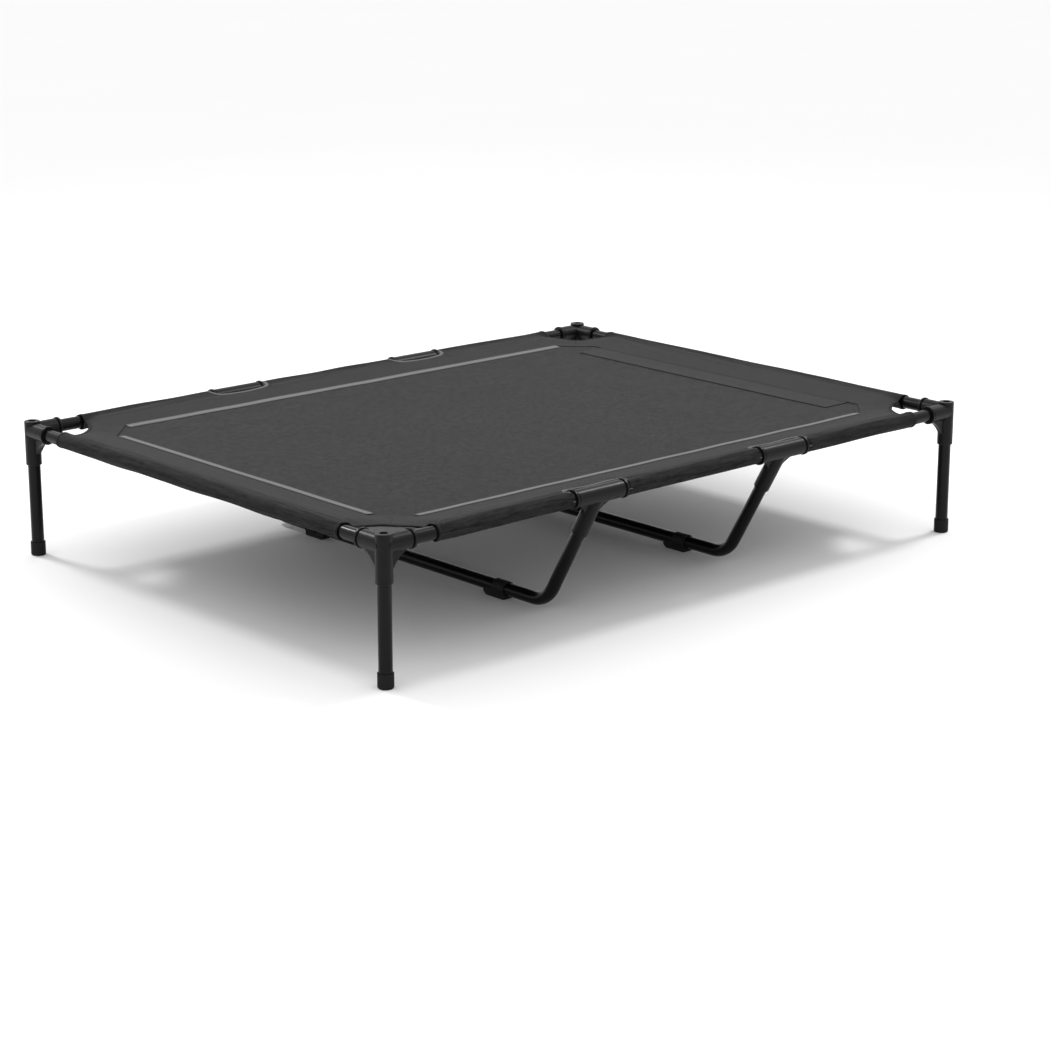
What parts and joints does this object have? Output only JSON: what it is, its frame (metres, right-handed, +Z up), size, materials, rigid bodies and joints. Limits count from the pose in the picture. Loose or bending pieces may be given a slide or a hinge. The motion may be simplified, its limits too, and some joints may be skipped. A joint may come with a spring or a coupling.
{
  "type": "raised dog bed",
  "caption": "Raised rectangular dog bed: a dark sling cover sleeved over a black tube frame with moulded corner and tee connectors, capped legs and bent floor braces under the middle",
  "frame": {"origin": "On the floor, under the middle of the bed", "axes": "+X along the long side to the right, +Y from the front long side to the back one, +Z up"},
  "size_m": [1.21, 0.91, 0.22],
  "materials": {
    "moulded_plastic": "satin moulded black plastic",
    "coated_steel": "satin black powder coat on steel tube",
    "foot_rubber": "matt black rubber",
    "clip_rubber": "matt black rubber",
    "black_bolt": "black oxide steel",
    "insert_plastic": "plain black plastic",
    "panel_mesh": "fine woven charcoal mesh",
    "band_cloth": "smooth tight black-charcoal weave",
    "seam_tape": "light grey ribbed tape",
    "flap_cloth": "stitched black-charcoal weave"
  },
  "bodies": {
    "root": {"brace_foot_back_left": "clip_rubber", "brace_foot_back_right": "clip_rubber", "brace_foot_front_left": "clip_rubber", "brace_foot_front_right": "clip_rubber", "brace_tube_left": "coated_steel", "brace_tube_right": "coated_steel", "corner_connector_back_left": "moulded_plastic", "corner_connector_back_right": "moulded_plastic", "corner_connector_front_left": "moulded_plastic", "corner_connector_front_right": "moulded_plastic", "cover_band_back": "band_cloth", "cover_band_front": "band_cloth", "cover_band_left": "band_cloth", "cover_band_right": "band_cloth", "cover_flap_right": "flap_cloth", "cover_panel": "panel_mesh", "end_rail_left": "coated_steel", "end_rail_right": "coated_steel", "foot_cap_back_left": "foot_rubber", "foot_cap_back_right": "foot_rubber", "foot_cap_front_left": "foot_rubber", "foot_cap_front_right": "foot_rubber", "leg_bolts": "black_bolt", "leg_inserts": "insert_plastic", "leg_tube_back_left": "coated_steel", "leg_tube_back_right": "coated_steel", "leg_tube_front_left": "coated_steel", "leg_tube_front_right": "coated_steel", "seam_tape_back": "seam_tape", "seam_tape_front": "seam_tape", "seam_tape_left": "seam_tape", "side_rail_back_left": "coated_steel", "side_rail_back_middle": "coated_steel", "side_rail_back_right": "coated_steel", "side_rail_front_left": "coated_steel", "side_rail_front_middle": "coated_steel", "side_rail_front_right": "coated_steel", "tee_connector_back_left": "moulded_plastic", "tee_connector_back_right": "moulded_plastic", "tee_connector_front_left": "moulded_plastic", "tee_connector_front_right": "moulded_plastic"}
  },
  "joints": []
}
